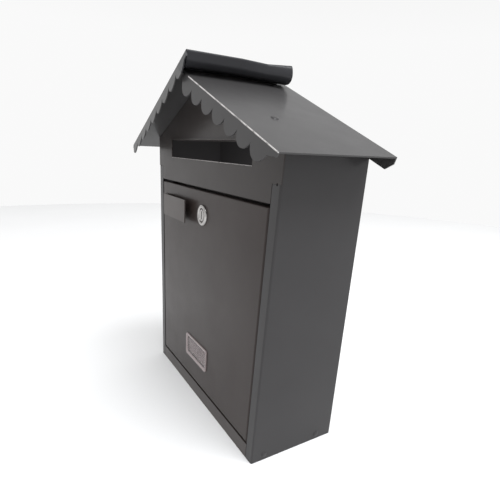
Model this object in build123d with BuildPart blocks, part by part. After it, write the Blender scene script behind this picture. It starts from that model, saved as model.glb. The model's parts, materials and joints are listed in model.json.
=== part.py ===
from build123d import *
from math import cos, radians, sin, tan
import os

# Wall letter box in folded sheet steel: tapered body, drop-down door, gabled roof.
# Frame: X to the right seen from the front, Y towards the wall, Z up.
# Origin: on the underside, at the centre of the whole object's box. Millimetres.

# ---------------------------------------------------------------- driving dimensions
SHEET = 1.0            # steel sheet of the body, roof and door
FOLD_R = 1.8           # outer radius of the visible folds
GAP = 0.2              # assembly clearance between sheets of one body

BODY_W = 260.0         # body width
BODY_D = 97.0          # body depth along the floor
LEAN = 4.0             # the front leans back by this angle, degrees
FLANGE = 11.0          # front return flanges of the body, either side of the door
FLANGE_TOP = 248.3     # height up the front where the return flanges end
RELIEF_R = 1.0         # relief hole where a flange ends

PITCH = 20.4           # roof pitch, degrees
RIDGE_Z = 326.0        # height of the ridge line, on the roof's outer surface
EAVE_RUN = 166.4       # ridge to eave, along the slope
FRONT_OVERHANG = 4.5   # roof front edge in front of the body's foot
COMB_REAR_CUT = 5.5    # the comb stops short of the roof's rear edge
TRIM_VALLEY = 6.0      # trim depth at the notches between the scallops
TRIM_TIP = 13.4        # trim depth at the scallops' tips
TRIM_FLARE = 15.0      # the trims stand off plumb by this angle, degrees
LEFT_LOBES = (9, -20.2, 20.4)    # count, first notch along the slope, pitch
RIGHT_LOBES = (7, 16.3, 20.0)
REAR_STRIP = 11.0      # depth of the strip folded down at the roof's rear
STRIP_CHAMFER = 6.0    # cut corner of that strip at the eave

SLOT_W, SLOT_H = 176.0, 16.5   # letter slot
SLOT_S = 267.0                 # its centre, measured up the front
SLOT_LIP = 8.0                 # lips folded in above and below the slot
SILL_R = 0.8                   # fold radius of the lower lip
HOOD = 2.2                     # small rain lip over the slot
GABLE_FOOT = 235.0             # lower edge of the gable plate
SHELF = 13.0                   # depth of the fold above the door
STOP_LIP = 10.0                # lip that hangs from that fold, behind the door
ROOF_TAB = 20.0                # tabs of the gable plate under the roof

DOOR_W = 234.8         # door pan
DOOR_FOOT, DOOR_TOP = 17.3, 232.4
DOOR_D = 12.0          # depth of the pan's walls
DOOR_RETURN = 9.0      # lip turned down behind the door's top wall
RAIL_H = 15.5          # front rail of the floor pan, below the door
RAIL_HEM = 8.0
FLOOR_FLANGE = 13.0    # upturned flanges of the floor pan
DRAIN_R = 2.5

AXIS_S = DOOR_FOOT + 6.0       # hinge axis, up the front and behind its face
AXIS_N = 3.9
PIN_R = 2.0
PIN_HEAD_R, PIN_HEAD_T = 2.6, 1.2
RUNNING = 0.05                 # radial clearance of pins and plug
LUG_T, LUG_FOOT = 1.2, 15.0    # hinge lugs on the floor pan
LUG_TOP, LUG_D = 33.0, 16.0
LUG_RIVET_R = 1.5

HANDLE_X = (-95.4, -30.2)      # pull plate on the door
HANDLE_S = (198.2, 220.4)
HANDLE_T = 1.2
HANDLE_N = 7.6                 # its outer face, in front of the door
HANDLE_FOOT = 12.0

LOCK_S = 210.0                 # lock centre, up the front, on the door's centre line
BEZEL_R, BEZEL_T = 10.0, 2.5
BARREL_R = 8.0
BARREL_L = 13.0
PLUG_R = 5.4
PLUG_FACE = 1.7                # the plug's face, in front of the door
TAIL = 6.0                     # square tail that carries the cam
CAM_T, CAM_W, CAM_L = 1.6, 13.0, 25.0
CAM_N = 14.6                   # cam's front face, behind the door's face
SCREW_R, SCREW_HEAD_R, SCREW_HEAD_T = 1.25, 4.6, 2.0
NUT_R, NUT_T = 12.0, 3.5       # lock nut, across its corners
WASHER_R, WASHER_T = 12.5, 0.9
KEYWAY_W, KEYWAY_H, KEYWAY_D = 7.4, 1.5, 9.0

NAME_X, NAME_S = -8.0, 57.5    # name plate centre
NAME_W, NAME_H = 58.0, 27.0
NAME_R = 3.0
NAME_RIM = 4.0                 # rim outside the cut-out in the door
NAME_PROUD = 1.6

RIVET_R, RIVET_HEAD_R, RIVET_HEAD_H = 1.6, 3.2, 1.1
FLOOR_RIVET_Y = (14.3, 78.0)   # behind the body's front foot
FLOOR_RIVET_Z = 6.2
ROOF_RIVET_X, ROOF_RIVET_Y = 99.2, 29.5
WALL_HOLE_R = 3.2
WALL_DX, WALL_DZ, WALL_Z = 180.0, 150.0, 130.0
BOSS_R, BOSS_FACE_R = 10.4, 8.0

# ---------------------------------------------------------------- worked-out places
HALF = BODY_W / 2
FLARE_OUT = TRIM_TIP * sin(radians(TRIM_FLARE))
STAND_OFF = SHEET + GAP                            # wall bosses and rear strips, behind the back
DEPTH = STAND_OFF + BODY_D + FRONT_OVERHANG + FLARE_OUT
WALL_Y = DEPTH / 2
BACK_Y = WALL_Y - STAND_OFF                        # outside of the back panel
FRONT_Y = BACK_Y - BODY_D                          # foot of the front
ROOF_Y0 = FRONT_Y - FRONT_OVERHANG
ROOF_Y1 = WALL_Y
NEST = SHEET + 0.1                                 # the right roof sheet sits inside the left
FOOT_S = SHEET * tan(radians(LEAN))                # keeps folded feet above the ground
LEAN_T, LEAN_C, LEAN_S = tan(radians(LEAN)), cos(radians(LEAN)), sin(radians(LEAN))
ROOF_T, ROOF_C, ROOF_S = tan(radians(PITCH)), cos(radians(PITCH)), sin(radians(PITCH))

front = Plane(origin=(0, FRONT_Y, 0), x_dir=(1, 0, 0), z_dir=(0, -LEAN_C, LEAN_S))
back = Plane(origin=(0, BACK_Y, 0), x_dir=(1, 0, 0), z_dir=(0, -1, 0))


def front_y(z, inset=0.0):
    """Y of the leaning front at height z, or of a surface inset behind it."""
    return FRONT_Y + z * LEAN_T + inset / LEAN_C


def roof_z(x, below=0.0):
    """Height of the roof's outer surface at x, or of a surface below it."""
    return RIDGE_Z - abs(x) * ROOF_T - below / ROOF_C


def slope(side, y=0.0):
    """Plane on a roof slope's outer face: x runs down the slope from the ridge."""
    return Plane(origin=(0, y, RIDGE_Z), x_dir=(side * ROOF_C, 0, -ROOF_S),
                 z_dir=(side * ROOF_S, 0, ROOF_C))


def box_on(plane, x0, x1, y0, y1, depth, mode=Mode.ADD):
    """Rectangle x0..x1 by y0..y1 on a plane, extruded by depth (negative goes behind)."""
    with BuildSketch(plane) as profile:
        with Locations(((x0 + x1) / 2, (y0 + y1) / 2)):
            Rectangle(abs(x1 - x0), abs(y1 - y0))
    extrude(profile.sketch, amount=depth, mode=mode)


def save(part, name):
    part.label = name
    export_step(part, f"parts/{name}.step")


def bores(plane, points, radius, depth):
    """Round holes cut from a plane into the part, depth deep on both sides of it."""
    with BuildSketch(plane) as holes:
        with Locations(*points):
            Circle(radius)
    extrude(holes.sketch, amount=depth, both=True, mode=Mode.SUBTRACT)


os.makedirs("parts", exist_ok=True)

# ---------------------------------------------------------------- body shell
side_top = roof_z(HALF, SHEET + GAP)
side_outline = [
    (front_y(0), 0),
    (BACK_Y, 0),
    (BACK_Y, side_top),
    (front_y(side_top), side_top),
]
gable_top = roof_z(0, SHEET + GAP)


def add_boss(x, z):
    """Pressed boss round a wall hole, its face level with the roof's rear strips."""
    inner_r = BOSS_R - SHEET * 0.4
    with BuildSketch(Plane(origin=(x, BACK_Y, z), x_dir=(1, 0, 0), z_dir=(0, 0, 1))) as section:
        with BuildLine():
            Polyline((WALL_HOLE_R, STAND_OFF), (BOSS_FACE_R, STAND_OFF), (BOSS_R, 0),
                     (BOSS_R, -SHEET), (inner_r, -SHEET),
                     (BOSS_FACE_R - SHEET * 0.4, STAND_OFF - SHEET),
                     (WALL_HOLE_R, STAND_OFF - SHEET), close=True)
        make_face()
    revolve(section.sketch, axis=Axis((x, BACK_Y, z), (0, 1, 0)))


def fold_edges(part, behind, x):
    """Upright edges of the body's front folds, at one depth behind the front and one |x|."""
    upright = part.edges().filter_by(Axis((0, 0, 0), (0, LEAN_S, LEAN_C)))
    found = []
    for edge in upright:
        place = front.to_local_coords(edge.center())
        if abs(place.Z + behind) < 0.01 and abs(abs(place.X) - x) < 0.01:
            found.append(edge)
    return found


with BuildPart() as body_shell:
    for start in (-HALF, HALF - SHEET):
        with BuildSketch(Plane.YZ.offset(start)):
            with BuildLine():
                Polyline(*side_outline, close=True)
            make_face()
        extrude(amount=SHEET)
    with BuildSketch(Plane.XZ.offset(-BACK_Y)):
        with BuildLine():
            Polyline((-HALF, 0), (HALF, 0), (HALF, side_top), (0, gable_top),
                     (-HALF, side_top), close=True)
        make_face()
    extrude(amount=SHEET)
    for side in (-1, 1):
        box_on(front, side * HALF, side * (HALF - FLANGE), FOOT_S, FLANGE_TOP, -SHEET)
        box_on(front, side * (HALF + 1), side * (HALF - 2), FLANGE_TOP, RIDGE_Z,
               -SHEET - GAP / 2, Mode.SUBTRACT)
    fillet(fold_edges(body_shell, 0, HALF), FOLD_R)
    fillet(fold_edges(body_shell, SHEET, HALF - SHEET), FOLD_R - SHEET)
    bores(front, [(side * (HALF - 5), FLANGE_TOP) for side in (-1, 1)], RELIEF_R, 2 * SHEET)
    wall_holes = [(x * WALL_DX / 2, WALL_Z + z * WALL_DZ / 2) for x in (-1, 1) for z in (-1, 1)]
    bores(back, wall_holes, BOSS_R - 0.4, 2 * SHEET)
    for x, z in wall_holes:
        add_boss(x, z)
    rivet_points = [(FRONT_Y + y, FLOOR_RIVET_Z) for y in FLOOR_RIVET_Y]
    bores(Plane.YZ, rivet_points, RIVET_R, HALF + 1)
save(body_shell.part, "body_shell")

# ---------------------------------------------------------------- floor pan
pan_x = HALF - SHEET - GAP / 2
rail_x = HALF - FLANGE - 0.6
pan_y1 = BACK_Y - SHEET - GAP / 2
pan_y0 = front_y(0, SHEET + GAP)
flange_y0 = front_y(FLOOR_FLANGE, SHEET + GAP) + 6
ear_x = HALF - FLANGE + 0.2
foot_y = front_y(SHEET, SHEET) + 5.0
lug_rivets_at = [(ear_x - 5.0, foot_y + 6.0), (ear_x - 11.0, foot_y + 6.0)]

with BuildPart() as floor_pan:
    box_on(Plane.XY, -pan_x, pan_x, pan_y0, pan_y1, SHEET)
    box_on(Plane.XY, -rail_x, rail_x, front_y(0, SHEET / 2), pan_y0 + 1, SHEET)
    for side in (-1, 1):
        box_on(Plane.XY, side * pan_x, side * (pan_x - SHEET), flange_y0, pan_y1, FLOOR_FLANGE)
    box_on(Plane.XY, -pan_x, pan_x, pan_y1 - SHEET, pan_y1, FLOOR_FLANGE)
    box_on(front, -rail_x, rail_x, FOOT_S, RAIL_H, -SHEET)
    box_on(front, -rail_x, rail_x, RAIL_H - SHEET, RAIL_H, -2 * SHEET - GAP)
    box_on(front.offset(-SHEET - GAP), -rail_x, rail_x, RAIL_H - RAIL_HEM, RAIL_H, -SHEET)
    bores(Plane.YZ, rivet_points, RIVET_R, HALF + 1)
    bores(Plane.XY, [(side * x, y) for side in (-1, 1) for x, y in lug_rivets_at], LUG_RIVET_R, 5)
    with BuildSketch(Plane.XY):
        with GridLocations(200, 50, 2, 2):
            Circle(DRAIN_R)
    extrude(amount=SHEET, mode=Mode.SUBTRACT)
save(floor_pan.part, "floor_pan")

# ---------------------------------------------------------------- gable plate with the slot
plate_eave = roof_z(HALF, SHEET + GAP) / LEAN_C
plate_ridge = roof_z(0, SHEET + GAP) / LEAN_C - 0.5
wing_s = FLANGE_TOP + GAP
slot_x = SLOT_W / 2
slot_lo, slot_hi = SLOT_S - SLOT_H / 2, SLOT_S + SLOT_H / 2



def sill_edge(part):
    """Outer edge of the slot's lower lip."""
    found = []
    for edge in part.edges().filter_by(Axis.X):
        place = front.to_local_coords(edge.center())
        if abs(place.Z) < 0.01 and abs(place.Y - slot_lo) < 0.01:
            found.append(edge)
    return found


with BuildPart() as gable_plate:
    with BuildSketch(front):
        with BuildLine():
            Polyline((-rail_x, GABLE_FOOT), (rail_x, GABLE_FOOT), (rail_x, wing_s),
                     (HALF, wing_s), (HALF, plate_eave), (0, plate_ridge),
                     (-HALF, plate_eave), (-HALF, wing_s), (-rail_x, wing_s), close=True)
        make_face()
    extrude(amount=-SHEET)
    for side in (-1, 1):
        tab_x0, tab_x1 = 9.0, HALF - SHEET - 3
        tab = slope(side)
        corners = []
        for x, back_by in ((tab_x0, 0.3), (tab_x1, 0.3), (tab_x1, ROOF_TAB), (tab_x0, ROOF_TAB)):
            corners.append((x / ROOF_C, side * front_y(roof_z(x, SHEET + GAP), back_by)))
        with BuildSketch(tab.offset(-SHEET - GAP)):
            with BuildLine():
                Polyline(*corners, close=True)
            make_face()
        extrude(amount=-SHEET)
        edge = side * (HALF - SHEET - GAP / 2)
        box_on(front, edge, edge - side * SHEET, wing_s + 3, plate_eave - 3, -12)
    box_on(front, -rail_x, rail_x, GABLE_FOOT, GABLE_FOOT + SHEET, -SHELF - SHEET)
    box_on(front.offset(-SHELF), -rail_x, rail_x, GABLE_FOOT - STOP_LIP, GABLE_FOOT + SHEET, -SHEET)
    box_on(front, -slot_x - SHEET, slot_x + SHEET, slot_lo - SHEET, slot_lo, -SLOT_LIP)
    box_on(front, -slot_x - SHEET, slot_x + SHEET, slot_hi, slot_hi + SHEET, -SLOT_LIP)
    box_on(front, -slot_x - SHEET, slot_x + SHEET, slot_hi, slot_hi + SHEET, HOOD)
    box_on(front, -slot_x, slot_x, slot_lo, slot_hi, -2 * SHEET, Mode.SUBTRACT)
    fillet(sill_edge(gable_plate), SILL_R)
    for side in (-1, 1):
        bores(slope(side), [(ROOF_RIVET_X / ROOF_C, side * (FRONT_Y + ROOF_RIVET_Y))],
              RIVET_R, 4 * SHEET)
    bores(front, [(side * (HALF - 5), FLANGE_TOP) for side in (-1, 1)], RELIEF_R, 2 * SHEET)
save(gable_plate.part, "gable_plate")


# ---------------------------------------------------------------- roof
def trim_plane(side, y):
    """Plane of a front trim: x down the slope, y up out of it, z out of the flared face."""
    cf, sf = cos(radians(TRIM_FLARE)), sin(radians(TRIM_FLARE))
    return Plane(origin=(0, y, RIDGE_Z), x_dir=(side * ROOF_C, 0, -ROOF_S),
                 z_dir=(side * ROOF_S * sf, -cf, ROOF_C * sf))


def add_trim(side, y, start, lobes):
    """Scalloped trim folded down from a sheet's front edge, plain at its two ends."""
    plane = trim_plane(side, y)
    up = 1 if plane.y_dir.Z > 0 else -1
    count, first, pitch = lobes
    last = first + count * pitch
    valley, tip = -up * TRIM_VALLEY, -up * TRIM_TIP
    with BuildSketch(plane) as trim:
        with BuildLine():
            Polyline((last, valley), (EAVE_RUN, valley * 0.5), (EAVE_RUN, 0), (start, 0),
                     (start, valley * 0.8), (first, valley))
            for i in range(count):
                u = first + i * pitch
                ThreePointArc((u, valley), (u + pitch / 2, tip), (u + pitch, valley))
        make_face()
    extrude(trim.sketch, amount=-SHEET)


def add_rear_strip(side, y, start):
    """Plain strip folded down from a sheet's rear edge, with its eave corner cut."""
    plane = Plane(origin=(0, y, RIDGE_Z), x_dir=(side * ROOF_C, 0, -ROOF_S), z_dir=(0, side, 0))
    down = -1 if plane.y_dir.Z > 0 else 1
    with BuildSketch(plane) as strip:
        with BuildLine():
            Polyline((start, 0), (EAVE_RUN, 0), (EAVE_RUN, down * (REAR_STRIP - STRIP_CHAMFER)),
                     (EAVE_RUN - STRIP_CHAMFER, down * REAR_STRIP), (start, down * REAR_STRIP),
                     close=True)
        make_face()
    extrude(strip.sketch, amount=-side * SHEET)


def rivet_hole(side):
    bores(slope(side), [(ROOF_RIVET_X / ROOF_C, side * (FRONT_Y + ROOF_RIVET_Y))], RIVET_R, 3)


COMB_Y1 = ROOF_Y1 - COMB_REAR_CUT
# Rolled comb, as (share of its length, points): each point is (past the ridge, below the sheet).
# The rear end is rolled fuller than the front, and the crest dips a little before it.
COMB_SECTIONS = (
    (0.0, ((24.6, 0), (25.3, 0.8), (24.2, 3.2), (22.0, 6.6), (19.0, 8.2), (14.0, 7.2), (5.2, 3.7))),
    (0.5, ((24.8, 0), (25.5, 0.8), (24.4, 3.3), (22.2, 6.8), (19.0, 8.4), (14.0, 7.4), (5.2, 3.7))),
    (0.76, ((23.8, 0.3), (24.7, 1.3), (24.2, 4.0), (22.6, 7.6), (19.4, 9.4), (14.4, 8.4), (5.6, 4.1))),
    (1.0, ((25.2, -0.7), (26.8, 0.6), (27.0, 4.2), (25.4, 8.4), (21.8, 10.8), (16.2, 10.4),
           (7.2, 5.6))),
)


def inside(points, thickness):
    """The same run of points, moved square to the run by the sheet's thickness."""
    moved = []
    for i, (u, v) in enumerate(points):
        before, after = points[max(i - 1, 0)], points[min(i + 1, len(points) - 1)]
        du, dv = after[0] - before[0], after[1] - before[1]
        reach = (du ** 2 + dv ** 2) ** 0.5
        moved.append((u - dv / reach * thickness, v + du / reach * thickness))
    return moved


def comb_section(share, points):
    """Closed outline of the rolled comb at one place along it, with its thickness."""
    y = ROOF_Y0 + share * (COMB_Y1 - ROOF_Y0)
    plane = Plane(origin=(0, y, RIDGE_Z), x_dir=(ROOF_C, 0, ROOF_S), z_dir=(0, -1, 0))
    outer = [(u, -v) for u, v in points]
    inner = [(u, -v) for u, v in inside(points, SHEET)]
    with BuildSketch(plane) as outline:
        with BuildLine():
            Line((-0.5, 0), outer[0])
            Spline(*outer)
            Line(outer[-1], inner[-1])
            Spline(*inner[::-1])
            Line(inner[0], (-0.5, -SHEET))
            Line((-0.5, -SHEET), (-0.5, 0))
        make_face()
    return outline.sketch


with BuildPart() as roof_left:
    box_on(slope(-1), 0, EAVE_RUN, -ROOF_Y0, -ROOF_Y1, -SHEET)
    add_trim(-1, ROOF_Y0, -COMB_SECTIONS[0][1][0][0], LEFT_LOBES)
    loft([comb_section(*section) for section in COMB_SECTIONS], ruled=True)
    add_rear_strip(-1, ROOF_Y1, 4.0)
    rivet_hole(-1)
save(roof_left.part, "roof_left")

right_start = 1.9
with BuildPart() as roof_right:
    box_on(slope(1), right_start, EAVE_RUN, ROOF_Y0 + NEST, ROOF_Y1, -SHEET)
    add_trim(1, ROOF_Y0 + NEST, 14.5, RIGHT_LOBES)
    add_rear_strip(1, ROOF_Y1, 4.0)
    tab_y1 = COMB_Y1 - SHEET - 1
    box_on(slope(-1).offset(-SHEET - 0.05), -12, -1.6, -(ROOF_Y0 + NEST + 0.5), -tab_y1, -SHEET)
    rivet_hole(1)
save(roof_right.part, "roof_right")

# ---------------------------------------------------------------- door pan
door_x = DOOR_W / 2
hinge_line = front.from_local_coords((0, AXIS_S, -AXIS_N))
pin_at = (hinge_line.Y, hinge_line.Z)
cut_w, cut_h = NAME_W - 2 * NAME_RIM, NAME_H - 2 * NAME_RIM
handle_rivets_at = [(HANDLE_X[0] - HANDLE_FOOT / 2, s) for s in (HANDLE_S[0] + 5, HANDLE_S[1] - 5)]

with BuildPart() as door_panel:
    box_on(front, -door_x, door_x, DOOR_FOOT, DOOR_TOP, -DOOR_D)
    fillet(door_panel.faces().sort_by(Axis((0, 0, 0), front.z_dir))[-1].edges(), FOLD_R)
    box_on(front.offset(-SHEET), -door_x + SHEET, door_x - SHEET, DOOR_FOOT + SHEET,
           DOOR_TOP - SHEET, -DOOR_D, Mode.SUBTRACT)
    box_on(front.offset(-DOOR_D + SHEET), -door_x + SHEET, door_x - SHEET,
           DOOR_TOP - DOOR_RETURN, DOOR_TOP, -SHEET)
    with BuildSketch(front):
        with Locations((NAME_X, NAME_S)):
            RectangleRounded(cut_w, cut_h, 2)
        with Locations((0, LOCK_S)):
            Circle(BARREL_R + 0.2)
        with Locations(*handle_rivets_at):
            Circle(RIVET_R)
    extrude(amount=-2 * SHEET, mode=Mode.SUBTRACT)
    for side in (-1, 1):
        bores(Plane.YZ.offset(side * door_x), [pin_at], PIN_R + RUNNING, 2 * SHEET)
save(door_panel.part, "door_panel")

# ---------------------------------------------------------------- pull plate
with BuildPart() as door_handle:
    hx0, hx1 = HANDLE_X
    box_on(front, hx0 - HANDLE_FOOT, hx0 + HANDLE_T, HANDLE_S[0], HANDLE_S[1], HANDLE_T)
    box_on(front, hx0, hx0 + HANDLE_T, HANDLE_S[0], HANDLE_S[1], HANDLE_N)
    box_on(front.offset(HANDLE_N - HANDLE_T), hx0, hx1, HANDLE_S[0], HANDLE_S[1], HANDLE_T)
    bores(front, handle_rivets_at, RIVET_R, 3)
    upright = door_handle.edges().filter_by(Axis((0, 0, 0), (0, LEAN_S, LEAN_C)))
    fillet(upright.sort_by(lambda e: -(e.center() - Vector(hx0, FRONT_Y, 0)).dot(front.z_dir)
                           + abs(e.center().X - hx0) * 10)[0], 1.0)
save(door_handle.part, "door_handle")


# ---------------------------------------------------------------- rivets
def add_rivet(plane, grip):
    """Rivet at a plane's origin, its head standing out along the plane's z."""
    tail_r = RIVET_R * 1.6
    with BuildSketch(Plane(origin=plane.origin, x_dir=plane.x_dir, z_dir=-plane.y_dir)) as half:
        with BuildLine():
            Polyline((0, RIVET_HEAD_H), (0, -grip - 1), (tail_r, -grip - 1), (tail_r, -grip),
                     (RIVET_R, -grip), (RIVET_R, 0), (RIVET_HEAD_R, 0),
                     (RIVET_HEAD_R * 0.8, RIVET_HEAD_H * 0.65),
                     (RIVET_HEAD_R * 0.4, RIVET_HEAD_H), close=True)
        make_face()
    revolve(half.sketch, axis=Axis(plane.origin, plane.z_dir))


with BuildPart() as handle_rivets:
    for x, s in handle_rivets_at:
        foot = front.from_local_coords((x, s, HANDLE_T))
        add_rivet(Plane(origin=foot, x_dir=(1, 0, 0), z_dir=front.z_dir), HANDLE_T + SHEET)
save(handle_rivets.part, "handle_rivets")

with BuildPart() as floor_rivets:
    for side in (-1, 1):
        for y, z in rivet_points:
            add_rivet(Plane(origin=(side * HALF, y, z), x_dir=(0, 1, 0), z_dir=(side, 0, 0)),
                      2 * SHEET + GAP / 2)
save(floor_rivets.part, "floor_rivets")

with BuildPart() as roof_rivets:
    for side in (-1, 1):
        head = slope(side).from_local_coords((ROOF_RIVET_X / ROOF_C,
                                              side * (FRONT_Y + ROOF_RIVET_Y), 0))
        add_rivet(Plane(origin=head, x_dir=(0, 1, 0), z_dir=slope(side).z_dir),
                  2 * SHEET + GAP)
save(roof_rivets.part, "roof_rivets")

# ---------------------------------------------------------------- hinge lugs and pins
for side, name in ((-1, "hinge_lug_left"), (1, "hinge_lug_right")):
    with BuildPart() as lug:
        with BuildSketch(Plane.YZ.offset(side * ear_x)):
            with BuildLine():
                Polyline((foot_y, SHEET + 0.05), (foot_y + 12, SHEET + 0.05),
                         (front_y(LUG_TOP, LUG_D), LUG_TOP - 6),
                         (front_y(LUG_TOP, LUG_D) - 4, LUG_TOP),
                         (front_y(LUG_TOP, SHEET + 0.3), LUG_TOP),
                         (front_y(8, SHEET + 3.0), 8), close=True)
            make_face()
        extrude(amount=side * LUG_T)
        bores(Plane.YZ.offset(side * ear_x), [pin_at], PIN_R, 2 * LUG_T)
        box_on(Plane.XY.offset(SHEET + 0.05), side * (ear_x - LUG_FOOT), side * (ear_x + LUG_T),
               foot_y, foot_y + 12, LUG_T)
        bores(Plane.XY, [(side * x, y) for x, y in lug_rivets_at], LUG_RIVET_R, 5)
    save(lug.part, name)

with BuildPart() as hinge_pins:
    for side in (-1, 1):
        inner = side * (door_x - SHEET - 0.4)
        with BuildSketch(Plane.YZ.offset(inner)):
            with Locations(pin_at):
                Circle(PIN_HEAD_R)
        extrude(amount=-side * PIN_HEAD_T)
        with BuildSketch(Plane.YZ.offset(inner)):
            with Locations(pin_at):
                Circle(PIN_R)
        extrude(amount=side * (ear_x + LUG_T + 0.6 - abs(inner)))
save(hinge_pins.part, "hinge_pins")

with BuildPart() as lug_rivets:
    for side in (-1, 1):
        for x, y in lug_rivets_at:
            top = SHEET + 0.05 + LUG_T
            with BuildSketch(Plane(origin=(side * x, y, top), x_dir=(1, 0, 0), z_dir=(0, -1, 0))):
                with BuildLine():
                    Polyline((0, 1.0), (0, -top), (LUG_RIVET_R, -top), (LUG_RIVET_R, 0),
                             (2.7, 0), (2.1, 0.7), (1.0, 1.0), close=True)
                make_face()
            revolve(axis=Axis((side * x, y, 0), (0, 0, 1)))
save(lug_rivets.part, "lug_rivets")


# ---------------------------------------------------------------- cam lock
def lock_disc(radius, n0, n1, mode=Mode.ADD):
    """Round stock on the lock's axis from depth n0 to n1 behind the door's face."""
    with BuildSketch(front.offset(-n0)) as disc:
        with Locations((0, LOCK_S)):
            Circle(radius)
    extrude(disc.sketch, amount=-(n1 - n0), mode=mode)


with BuildPart() as lock_barrel:
    lock_disc(BEZEL_R, -BEZEL_T, 0)
    chamfer(lock_barrel.faces().sort_by(Axis((0, 0, 0), front.z_dir))[-1].edges(), 0.7)
    lock_disc(BARREL_R, 0, BARREL_L)
    lock_disc(PLUG_R + RUNNING, -BEZEL_T, BARREL_L, Mode.SUBTRACT)
save(lock_barrel.part, "lock_barrel")

with BuildPart() as lock_nut:
    with BuildSketch(front.offset(-SHEET - WASHER_T)):
        with Locations((0, LOCK_S)):
            RegularPolygon(NUT_R, 6)
            Circle(BARREL_R, mode=Mode.SUBTRACT)
    extrude(amount=-NUT_T)
save(lock_nut.part, "lock_nut")

with BuildPart() as lock_washer:
    with BuildSketch(front.offset(-SHEET)):
        with Locations((0, LOCK_S)):
            Circle(WASHER_R)
            Circle(BARREL_R + 0.1, mode=Mode.SUBTRACT)
    extrude(amount=-WASHER_T)
save(lock_washer.part, "lock_washer")

with BuildPart() as lock_plug:
    lock_disc(PLUG_R, -PLUG_FACE, CAM_N)
    box_on(front.offset(-CAM_N), -TAIL / 2, TAIL / 2, LOCK_S - TAIL / 2, LOCK_S + TAIL / 2,
           -CAM_T - 0.2)
    box_on(front.offset(PLUG_FACE), -KEYWAY_H / 2, KEYWAY_H / 2, LOCK_S - KEYWAY_W / 2,
           LOCK_S + KEYWAY_W / 2, -KEYWAY_D, Mode.SUBTRACT)
    lock_disc(SCREW_R, CAM_N - 6, CAM_N + CAM_T + 1, Mode.SUBTRACT)
save(lock_plug.part, "lock_plug")

with BuildPart() as lock_cam:
    with BuildSketch(front.offset(-CAM_N)):
        with Locations((0, LOCK_S)):
            Circle(CAM_W / 2)
        with Locations((CAM_L / 2, LOCK_S)):
            Rectangle(CAM_L, CAM_W - 2)
        with Locations((0, LOCK_S)):
            Rectangle(TAIL + 0.1, TAIL + 0.1, mode=Mode.SUBTRACT)
    extrude(amount=-CAM_T)
save(lock_cam.part, "lock_cam")

with BuildPart() as cam_screw:
    head_n = CAM_N + CAM_T + 0.2
    lock_disc(SCREW_HEAD_R, head_n, head_n + SCREW_HEAD_T)
    lock_disc(SCREW_R, CAM_N - 5, head_n)
    box_on(front.offset(-head_n - SCREW_HEAD_T), -4, 4, LOCK_S - 0.5, LOCK_S + 0.5, 0.9,
           Mode.SUBTRACT)
save(cam_screw.part, "cam_screw")


# ---------------------------------------------------------------- name window
def name_plate(width, height, radius, n0, n1, mode=Mode.ADD):
    """Rounded plate at the name window, from depth n0 to n1 behind the door's face."""
    with BuildSketch(front.offset(-n0)) as outline:
        with Locations((NAME_X, NAME_S)):
            RectangleRounded(width, height, radius)
    extrude(outline.sketch, amount=-(n1 - n0), mode=mode)


CARD_T, RETAINER_T = 0.4, 1.0
with BuildPart() as name_window:
    name_plate(NAME_W, NAME_H, NAME_R, -NAME_PROUD, 0)
    chamfer(name_window.faces().sort_by(Axis((0, 0, 0), front.z_dir))[-1].edges(), 0.5)
    name_plate(cut_w - 0.4, cut_h - 0.4, 1.8, 0, SHEET + 1.4)
    name_plate(cut_w - 3, cut_h - 3, 1.2, SHEET - 0.6, SHEET + 2, Mode.SUBTRACT)
save(name_window.part, "name_window")

with BuildPart() as name_card:
    name_plate(cut_w - 3.2, cut_h - 3.2, 1.0, SHEET - 0.6, SHEET - 0.6 + CARD_T)
save(name_card.part, "name_card")

with BuildPart() as name_retainer:
    name_plate(NAME_W - 2, NAME_H - 2, 3.0, SHEET + 0.05, SHEET + 0.05 + RETAINER_T)
    name_plate(cut_w - 0.4, cut_h - 0.4, 1.8, SHEET, SHEET + 3, Mode.SUBTRACT)
save(name_retainer.part, "name_retainer")

# ---------------------------------------------------------------- door buffers
BUFFER_X, BUFFER_R = 95.0, 4.0
with BuildPart() as door_buffers:
    with BuildSketch(front.offset(-SHELF)):
        with Locations((-BUFFER_X, GABLE_FOOT - STOP_LIP / 2), (BUFFER_X, GABLE_FOOT - STOP_LIP / 2)):
            Circle(BUFFER_R)
    extrude(amount=0.7)
save(door_buffers.part, "door_buffers")
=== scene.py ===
import json
import math

import bmesh
import bpy
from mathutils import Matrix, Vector


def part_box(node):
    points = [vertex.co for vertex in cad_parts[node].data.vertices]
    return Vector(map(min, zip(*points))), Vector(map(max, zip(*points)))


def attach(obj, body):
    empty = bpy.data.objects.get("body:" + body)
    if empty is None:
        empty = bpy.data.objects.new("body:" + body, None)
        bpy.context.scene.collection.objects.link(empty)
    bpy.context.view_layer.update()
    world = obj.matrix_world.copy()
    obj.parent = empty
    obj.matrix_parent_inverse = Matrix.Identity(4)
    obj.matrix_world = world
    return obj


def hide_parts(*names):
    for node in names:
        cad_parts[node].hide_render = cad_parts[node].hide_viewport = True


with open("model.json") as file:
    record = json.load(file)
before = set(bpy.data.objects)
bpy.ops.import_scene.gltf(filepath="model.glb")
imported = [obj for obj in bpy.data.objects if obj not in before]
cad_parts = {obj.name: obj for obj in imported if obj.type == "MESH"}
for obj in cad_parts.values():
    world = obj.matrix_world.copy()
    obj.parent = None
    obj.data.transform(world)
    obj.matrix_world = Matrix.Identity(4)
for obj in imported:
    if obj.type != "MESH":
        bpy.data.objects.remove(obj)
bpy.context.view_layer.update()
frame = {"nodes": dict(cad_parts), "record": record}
NODES = frame["nodes"]


# ---------------------------------------------------------------- directions of the box
MM = 0.001
LEAN = math.radians(4.0)            # of the front, back from its foot
ROOF_PITCH = math.radians(20.4)

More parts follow.
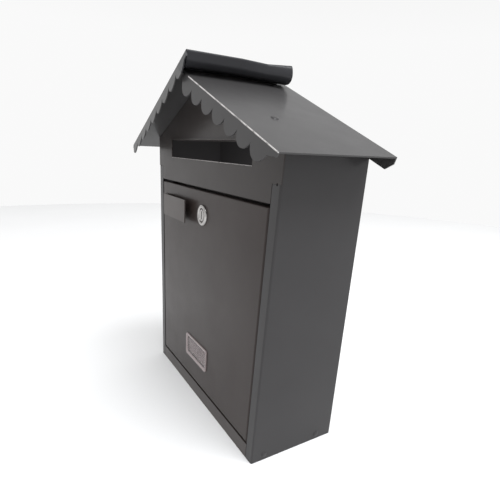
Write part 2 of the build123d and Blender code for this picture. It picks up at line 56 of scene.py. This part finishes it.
# Out of the front, up it and across it.
OUT = Vector((0, -math.cos(LEAN), math.sin(LEAN)))
UP = Vector((0, math.sin(LEAN), math.cos(LEAN)))
RIGHT = Vector((1, 0, 0))
BACKWARD = Vector((0, 1, 0))
FRONT_FOOT = Vector((0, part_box("body_shell")[0][1], 0))

# The right slope: its normal, and a point of its outer face where it meets the left one.
SLOPE_UP = Vector((math.sin(ROOF_PITCH), 0, math.cos(ROOF_PITCH)))
RIDGE = Vector((0, 0, 326 * MM))


def middle(node):
    """Middle of a node's box."""
    low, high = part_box(node)
    return (Vector(low) + Vector(high)) / 2


def front_point(node):
    """Middle of a node, moved along the door's normal onto the plane of the door's face."""
    centre = middle(node)
    return centre - OUT * (centre - FRONT_FOOT).dot(OUT)


# ---------------------------------------------------------------- material nodes
def grey(level):
    """Neutral colour."""
    return (level, level, level)


def tinted(colour, factor):
    """A colour made lighter or darker."""
    return tuple(value * factor for value in colour)


def new_material(name):
    """Material with only a shader and its output."""
    mat = bpy.data.materials.new(name)
    mat.use_nodes = True
    tree = mat.node_tree
    tree.nodes.clear()
    out = tree.nodes.new("ShaderNodeOutputMaterial")
    shader = tree.nodes.new("ShaderNodeBsdfPrincipled")
    tree.links.new(shader.outputs[0], out.inputs[0])
    return mat, tree, shader


def noise_node(tree, scale, detail, roughness):
    """Value of a noise in object space."""
    coords = tree.nodes.new("ShaderNodeTexCoord")
    noise = tree.nodes.new("ShaderNodeTexNoise")
    noise.inputs["Scale"].default_value = scale
    noise.inputs["Detail"].default_value = detail
    noise.inputs["Roughness"].default_value = roughness
    tree.links.new(coords.outputs["Object"], noise.inputs["Vector"])
    return noise.outputs["Fac"]


def ramp_node(tree, source, low, high, start=0.3, stop=0.7):
    """Colour that runs from low to high as the source value runs from start to stop."""
    ramp = tree.nodes.new("ShaderNodeValToRGB")
    first, last = ramp.color_ramp.elements
    first.position = start
    first.color = (*low, 1.0)
    last.position = stop
    last.color = (*high, 1.0)
    tree.links.new(source, ramp.inputs["Fac"])
    return ramp.outputs[0]


def math_node(tree, operation, first, second=0.0):
    """Result of a math node over two inputs, each a socket or a float."""
    node = tree.nodes.new("ShaderNodeMath")
    node.operation = operation
    for socket, value in zip(node.inputs, (first, second)):
        if isinstance(value, float):
            socket.default_value = value
        else:
            tree.links.new(value, socket)
    return node.outputs[0]


def add_bump(tree, shader, height, strength, distance):
    """Bump from a height value."""
    bump = tree.nodes.new("ShaderNodeBump")
    bump.inputs["Strength"].default_value = strength
    bump.inputs["Distance"].default_value = distance
    tree.links.new(height, bump.inputs["Height"])
    tree.links.new(bump.outputs[0], shader.inputs["Normal"])


def plane_distance(tree, normal, point):
    """Signed distance of the surface from a plane of the object."""
    coords = tree.nodes.new("ShaderNodeTexCoord")
    dot = tree.nodes.new("ShaderNodeVectorMath")
    dot.operation = "DOT_PRODUCT"
    dot.inputs[1].default_value = normal
    tree.links.new(coords.outputs["Object"], dot.inputs[0])
    return math_node(tree, "SUBTRACT", dot.outputs["Value"], normal.dot(point))


# ---------------------------------------------------------------- kinds of material
COAT_SPECULAR = 0.12
CLEAR_LAYER = 0.3
CLEAR_LAYER_ROUGH = 0.22


def powder_coat(name, colour, rough=0.42):
    """Satin powder coat: fine orange peel, a slow wave in the sheet and faint handling marks."""
    mat, tree, shader = new_material(name)
    cloudy = noise_node(tree, scale=9.0, detail=4.0, roughness=0.55)
    tone = ramp_node(tree, cloudy, tinted(colour, 0.93), tinted(colour, 1.07))
    tree.links.new(tone, shader.inputs["Base Color"])
    smudge = noise_node(tree, scale=22.0, detail=5.0, roughness=0.65)
    gloss = ramp_node(tree, smudge, grey(rough - 0.03), grey(rough + 0.05), start=0.35)
    tree.links.new(gloss, shader.inputs["Roughness"])
    peel = noise_node(tree, scale=2600.0, detail=2.0, roughness=0.5)
    wave = noise_node(tree, scale=14.0, detail=1.0, roughness=0.4)
    height = math_node(tree, "ADD", math_node(tree, "MULTIPLY", peel, 0.12), wave)
    add_bump(tree, shader, height, strength=0.25, distance=0.6 * MM)
    shader.inputs["Specular IOR Level"].default_value = COAT_SPECULAR
    shader.inputs["Coat Weight"].default_value = CLEAR_LAYER
    shader.inputs["Coat Roughness"].default_value = CLEAR_LAYER_ROUGH
    return mat


def metal(name, colour, rough, grain=0.0):
    """Plated metal with fine marks; grain is the strength of their bump."""
    mat, tree, shader = new_material(name)
    shader.inputs["Metallic"].default_value = 1.0
    marks = noise_node(tree, scale=700.0, detail=4.0, roughness=0.6)
    tone = ramp_node(tree, marks, tinted(colour, 0.92), colour)
    tree.links.new(tone, shader.inputs["Base Color"])
    gloss = ramp_node(tree, marks, grey(rough), grey(rough + 0.08), stop=0.75)
    tree.links.new(gloss, shader.inputs["Roughness"])
    if grain:
        add_bump(tree, shader, marks, strength=grain, distance=0.2 * MM)
    return mat


def plastic(name, colour, rough, bump=0.1, transmission=0.0, alpha=1.0):
    """Moulded plastic, card or rubber, with a slight mottle."""
    mat, tree, shader = new_material(name)
    mottle = noise_node(tree, scale=120.0, detail=3.0, roughness=0.5)
    tone = ramp_node(tree, mottle, tinted(colour, 0.94), tinted(colour, 1.05))
    tree.links.new(tone, shader.inputs["Base Color"])
    shader.inputs["Roughness"].default_value = rough
    shader.inputs["Transmission Weight"].default_value = transmission
    shader.inputs["Alpha"].default_value = alpha
    if bump:
        add_bump(tree, shader, mottle, strength=bump, distance=0.2 * MM)
    return mat


def tint_part(mat, bands, colour, patchy):
    """Give part of a coat another colour, whole or broken into patches.

    bands is a list of (normal, point, half width); the part lies in all of them.
    """
    tree = mat.node_tree
    shader = tree.nodes["Principled BSDF"]
    mask = 1.0
    for normal, point, half_width in bands:
        away = math_node(tree, "ABSOLUTE", plane_distance(tree, normal, point))
        near = math_node(tree, "LESS_THAN", away, half_width)
        mask = math_node(tree, "MULTIPLY", near, mask)
    if patchy:
        patches = noise_node(tree, scale=190.0, detail=4.0, roughness=0.6)
        kept = ramp_node(tree, patches, grey(0.35), grey(1.0), start=0.36, stop=0.5)
        mask = math_node(tree, "MULTIPLY", mask, kept)
    old = shader.inputs["Base Color"].links[0].from_socket
    blend = tree.nodes.new("ShaderNodeMix")
    blend.data_type = "RGBA"
    old_in, new_in = [socket for socket in blend.inputs if socket.type == "RGBA"]
    colour_out = next(socket for socket in blend.outputs if socket.type == "RGBA")
    new_in.default_value = (*colour, 1.0)
    tree.links.new(mask, blend.inputs[0])
    tree.links.new(old, old_in)
    tree.links.new(colour_out, shader.inputs["Base Color"])
    return mat


# ---------------------------------------------------------------- finishes
FINISHES = {
    "coat_body": powder_coat("coat_body", (0.0355, 0.0340, 0.0350)),
    # coat_door: a warmer tint of the body coat, painted warm light that falls on the front
    "coat_door": powder_coat("coat_door", (0.0272, 0.0196, 0.0178)),
    # coat_handle: a lighter copy of the door coat, painted light on the plate that faces the lamps
    "coat_handle": powder_coat("coat_handle", (0.062, 0.053, 0.050)),
    "coat_roof": powder_coat("coat_roof", (0.046, 0.0445, 0.045), rough=0.45),
    "chrome": metal("chrome", (0.44, 0.425, 0.415), rough=0.16),
    "zinc": metal("zinc", (0.58, 0.58, 0.60), rough=0.36, grain=0.2),
    "clear_plastic": plastic("clear_plastic", (0.40, 0.35, 0.35), rough=0.06, bump=0.0, alpha=0.25),
    "window_rim": plastic("window_rim", (0.33, 0.275, 0.275), rough=0.22, bump=0.0, transmission=0.2),
    "card": plastic("card", (0.115, 0.082, 0.088), rough=0.75),
    "dark_plastic": plastic("dark_plastic", (0.03, 0.03, 0.03), rough=0.5),
    "rubber": plastic("rubber", (0.02, 0.02, 0.02), rough=0.7),
}
# gable and rail: warm tints of the body coat, painted warm light on the front; the rail is also
# lighter, painted light near the floor
GABLE_PAINTED_WARM_LIGHT = (0.0335, 0.0285, 0.0272)
SLOPE_COLOUR = (0.047, 0.0455, 0.046)
# painted shade: darker than the slope, for the comb that faces away from the overhead light
COMB_PAINTED_SHADE = (0.022, 0.022, 0.025)
RAIL_PAINTED_LIGHT = (0.052, 0.044, 0.042)
# painted highlight colour, for the bright lines along the roof fold and the slot's sill
PAINTED_HIGHLIGHT = (0.50, 0.48, 0.47)


def dress(node, mat):
    """Give a CAD node one material."""
    materials = NODES[node].data.materials
    materials.clear()
    materials.append(mat)


def slope_with_fold_highlight():
    """Coat of the right slope, with a painted highlight, broken into patches, along the fold above
    its trim.
    """
    trim_depth = 13.4 * MM
    trim_splay = math.radians(15)
    highlight_middle = 89.5 * MM
    highlight_half = 67.5 * MM
    fold_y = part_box("roof_right")[0][1] + trim_depth * math.sin(trim_splay)
    bands = [(BACKWARD, BACKWARD * fold_y, 0.5 * MM),
             (SLOPE_UP, RIDGE, 0.6 * MM),
             (RIGHT, RIGHT * highlight_middle, highlight_half)]
    coat = powder_coat("coat_roof_fold_highlight", SLOPE_COLOUR, rough=0.45)
    return tint_part(coat, bands, PAINTED_HIGHLIGHT, patchy=True)


def slope_with_painted_comb_shade():
    """Coat of the left sheet, with painted shade darkening its comb, which lies over the right slope.
    """
    comb_start = 0.5 * MM
    comb_height = 40 * MM
    comb_left = 0.2 * MM
    comb_width = 60 * MM
    bands = [(SLOPE_UP, RIDGE + SLOPE_UP * (comb_start + comb_height / 2), comb_height / 2),
             (RIGHT, RIGHT * (comb_left + comb_width / 2), comb_width / 2)]
    coat = powder_coat("coat_comb_painted_shade", SLOPE_COLOUR, rough=0.5)
    return tint_part(coat, bands, COMB_PAINTED_SHADE, patchy=False)


def gable_with_sill_highlight():
    """Coat of the gable plate, warm-tinted for painted warm light, with a painted highlight, broken
    into patches, along the slot's lower lip.
    """
    slot_up = 267 * MM
    slot_half_height = 8.25 * MM
    slot_half_width = 88 * MM
    sill = FRONT_FOOT + UP * (slot_up - slot_half_height)
    bands = [(UP, sill, 0.6 * MM),
             (OUT, sill, 0.9 * MM),
             (RIGHT, Vector((0, 0, 0)), slot_half_width)]
    coat = powder_coat("coat_gable_sill_highlight", GABLE_PAINTED_WARM_LIGHT)
    return tint_part(coat, bands, PAINTED_HIGHLIGHT, patchy=True)


for part in frame["record"]["subparts"]:
    dress(part["node"], FINISHES[part["material_slot"]])
dress("roof_right", slope_with_fold_highlight())
dress("roof_left", slope_with_painted_comb_shade())
dress("gable_plate", gable_with_sill_highlight())
# the rail's coat is lighter and warmer than the body coat: painted light
dress("floor_pan", powder_coat("coat_rail_painted_light", RAIL_PAINTED_LIGHT))


# ---------------------------------------------------------------- edges of the CAD nodes
SHEET_EDGE = 0.22 * MM
ROOF_EDGE = 0.42 * MM
DOOR_EDGE = 0.4 * MM
LOCK_EDGE = 0.2 * MM
EDGE_ANGLE = math.radians(40)


def soften(node, width, segments):
    """Small rolled edges on a CAD node, by a modifier alone."""
    bevel = NODES[node].modifiers.new("edges", "BEVEL")
    bevel.width = width
    bevel.segments = segments
    bevel.limit_method = "ANGLE"
    bevel.angle_limit = EDGE_ANGLE


for node in ("body_shell", "floor_pan", "gable_plate"):
    soften(node, SHEET_EDGE, segments=2)
for node in ("roof_left", "roof_right"):
    soften(node, ROOF_EDGE, segments=3)
for node in ("door_panel", "door_handle"):
    soften(node, DOOR_EDGE, segments=3)
for node in ("lock_plug", "lock_cam", "lock_nut"):
    soften(node, LOCK_EDGE, segments=2)


# ---------------------------------------------------------------- mesh pieces
SMOOTH_BELOW = math.radians(35)


def new_piece(name, bm, finish):
    """Object from a bmesh, with its finish, and smooth where faces meet at a small angle."""
    mesh = bpy.data.meshes.new(name)
    bmesh.ops.recalc_face_normals(bm, faces=bm.faces)
    bm.to_mesh(mesh)
    bm.free()
    mesh.materials.append(FINISHES[finish])
    mesh.shade_smooth()
    mesh.set_sharp_from_angle(angle=SMOOTH_BELOW)
    obj = bpy.data.objects.new(name, mesh)
    bpy.context.scene.collection.objects.link(obj)
    return obj


def skin(bm, rings, closed=True):
    """Faces between rings of equal count; closed also joins the last ring to the first."""
    pairs = list(zip(rings, rings[1:]))
    if closed:
        pairs.append((rings[-1], rings[0]))
    for low, high in pairs:
        for i in range(len(low)):
            j = (i + 1) % len(low)
            bm.faces.new((low[i], low[j], high[j], high[i]))


# ---------------------------------------------------------------- lock case
# Half section in millimetres: (radius, distance in front of the door). It runs up the bore,
# over the groove and the rounded ring, and down the outside of the threaded part.
CASE_SECTION = ((5.5, -12.9), (5.5, 0.2), (6.3, 0.2), (6.45, 1.3), (6.9, 2.1), (7.6, 2.45),
                (8.4, 2.45), (9.2, 2.1), (9.75, 1.4), (9.95, 0.6), (9.95, 0.02), (8.0, 0.02),
                (8.0, -12.9))
CASE_SIDES = 72


def round_ring(bm, centre, radius, out):
    """Closed ring of vertices about the door's normal."""
    ring = []
    for i in range(CASE_SIDES):
        t = 2 * math.pi * i / CASE_SIDES
        spoke = RIGHT * math.cos(t) + UP * math.sin(t)
        ring.append(bm.verts.new(centre + OUT * out + spoke * radius))
    return ring


def lock_case():
    """Turned case of the cam lock: a rounded ring, and a groove round the plug."""
    centre = front_point("lock_plug")
    bm = bmesh.new()
    skin(bm, [round_ring(bm, centre, radius * MM, out * MM) for radius, out in CASE_SECTION])
    case = new_piece("lock_case", bm, "chrome")
    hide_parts("lock_barrel")
    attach(case, "door")


lock_case()


# ---------------------------------------------------------------- name window
# All in millimetres; distances are in front of the door.
WINDOW_HALF_H = 13.5
RIM_WIDTH = 3.4
RIM_CORNER_R = 3.2
RIM_CORNER_LEAST = 1.0
CORNER_TIGHTENING = 0.4             # of the corner radius, for each millimetre of inset
PANE_GAP = 0.05
PANE_CORNER_R = 1.3
PANE_FRONT = 0.45
PANE_BACK = -0.15
# Section of the rim: (inset from the outer edge, distance in front of the door).
RIM_SECTION = ((0.0, 0.02), (0.0, 1.0), (0.2, 1.4), (0.6, 1.58), (1.2, 1.45), (2.0, 1.15),
               (2.7, 1.0), (3.1, 0.85), (RIM_WIDTH, 0.55), (RIM_WIDTH, -0.3), (3.1, -0.3),
               (3.1, 0.02))
CORNER_STEPS = 6


def rounded_ring(bm, centre, half_w, half_h, radius, out):
    """Closed ring of vertices on a rounded rectangle parallel to the door."""
    ring = []
    for quarter, (side, rise) in enumerate(((1, 1), (-1, 1), (-1, -1), (1, -1))):
        for step in range(CORNER_STEPS + 1):
            t = math.radians(90 * (quarter + step / CORNER_STEPS))
            x = side * (half_w - radius) + radius * math.cos(t)
            y = rise * (half_h - radius) + radius * math.sin(t)
            ring.append(bm.verts.new(centre + RIGHT * x + UP * y + OUT * out))
    return ring


def window_rim(centre, half_w, half_h):
    """Raised rounded frame of the window."""
    bm = bmesh.new()
    rings = []
    for inset, out in RIM_SECTION:
        radius = max(RIM_CORNER_R - inset * CORNER_TIGHTENING, RIM_CORNER_LEAST)
        rings.append(rounded_ring(bm, centre, half_w - inset * MM, half_h - inset * MM,
                                  radius * MM, out * MM))
    skin(bm, rings)
    return new_piece("window_rim", bm, "window_rim")


def window_pane(centre, half_w, half_h):
    """Thin sunken pane over the card."""
    bm = bmesh.new()
    face = rounded_ring(bm, centre, half_w, half_h, PANE_CORNER_R * MM, PANE_FRONT * MM)
    under = rounded_ring(bm, centre, half_w, half_h, PANE_CORNER_R * MM, PANE_BACK * MM)
    skin(bm, [face, under], closed=False)
    bm.faces.new(face)
    bm.faces.new(under[::-1])
    return new_piece("window_pane", bm, "clear_plastic")


def name_window():
    """Rim and pane of the clear window, level with the card."""
    low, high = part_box("name_window")
    half_w = (high[0] - low[0]) / 2
    half_h = WINDOW_HALF_H * MM
    centre = front_point("name_window")
    centre += UP * (middle("name_card") - centre).dot(UP)
    inset = (RIM_WIDTH + PANE_GAP) * MM
    rim = window_rim(centre, half_w, half_h)
    pane = window_pane(centre, half_w - inset, half_h - inset)
    for piece in (rim, pane):
        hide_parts("name_window")
        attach(piece, "door")


name_window()


# ---------------------------------------------------------------- floor, light and camera
FLOOR_R = 1.8
FLOOR_SIDES = 96
# Brightness of the surroundings near the horizon and overhead, and the heights (0 to 1)
# between which one turns into the other.
HORIZON_LEVEL = 0.95
OVERHEAD_LEVEL = 0.8
HORIZON_TOP = 0.2
OVERHEAD_START = 0.6
# Name, place, target, size in metres, power in watts, colour.
LIGHTS = [
    ("overhead", (0.9, 0.2, 2.0), (0.0, 0.0, 0.2), (1.6, 1.2), 45, (0.96, 0.98, 1.0)),
    ("inside", (0.0, 0.0, 0.16), (0.0, 0.03, 0.27), (0.2, 0.05), 0.22, (1.0, 1.0, 1.0)),
]
SENSOR_WIDTH = 36.0
CAMERA_LENS = 27.551
CAMERA_SHIFT = (-0.03057, 0.2)
CAMERA_PLACE = (0.36622, -0.18719, 0.26861)
CAMERA_ANGLES = (62.4402, -2.3360, 58.3486)


def studio_floor():
    """Pale round floor."""
    mesh = bpy.data.meshes.new("studio_floor")
    bm = bmesh.new()
    bmesh.ops.create_circle(bm, cap_ends=True, radius=FLOOR_R, segments=FLOOR_SIDES)
    bm.to_mesh(mesh)
    bm.free()
    floor = bpy.data.objects.new("studio_floor", mesh)
    bpy.context.scene.collection.objects.link(floor)
    mat, tree, shader = new_material("studio_white")
    grain = noise_node(tree, scale=3.0, detail=2.0, roughness=0.5)
    tone = ramp_node(tree, grain, grey(0.84), grey(0.86))
    tree.links.new(tone, shader.inputs["Base Color"])
    shader.inputs["Roughness"].default_value = 0.9
    shader.inputs["Specular IOR Level"].default_value = 0.1
    mesh.materials.append(mat)


def area_light(name, place, target, size, power, colour):
    """Rectangular light aimed at a target."""
    data = bpy.data.lights.new(name, "AREA")
    data.shape = "RECTANGLE"
    data.size, data.size_y = size
    data.energy = power
    data.color = colour
    light = bpy.data.objects.new(name, data)
    light.location = place
    aim = Vector(target) - Vector(place)
    light.rotation_euler = aim.to_track_quat("-Z", "Y").to_euler()
    bpy.context.scene.collection.objects.link(light)


def surroundings():
    """White surroundings, darker overhead."""
    world = bpy.data.worlds.new("studio")
    world.use_nodes = True
    tree = world.node_tree
    coords = tree.nodes.new("ShaderNodeTexCoord")
    split = tree.nodes.new("ShaderNodeSeparateXYZ")
    tree.links.new(coords.outputs["Generated"], split.inputs[0])
    glow = ramp_node(tree, split.outputs["Z"], grey(HORIZON_LEVEL), grey(OVERHEAD_LEVEL),
                     HORIZON_TOP, OVERHEAD_START)
    tree.links.new(glow, tree.nodes["Background"].inputs[0])
    bpy.context.scene.world = world


def camera():
    """Close, wide view down at the box from its front right."""
    data = bpy.data.cameras.new("camera")
    data.sensor_width = SENSOR_WIDTH
    data.lens = CAMERA_LENS
    data.shift_x, data.shift_y = CAMERA_SHIFT
    data.clip_start = 10 * MM
    cam = bpy.data.objects.new("camera", data)
    cam.location = CAMERA_PLACE
    cam.rotation_euler = [math.radians(angle) for angle in CAMERA_ANGLES]
    bpy.context.scene.collection.objects.link(cam)
    bpy.context.scene.camera = cam


studio_floor()
for light in LIGHTS:
    area_light(*light)
surroundings()
bpy.context.scene.view_settings.view_transform = "Standard"
camera()
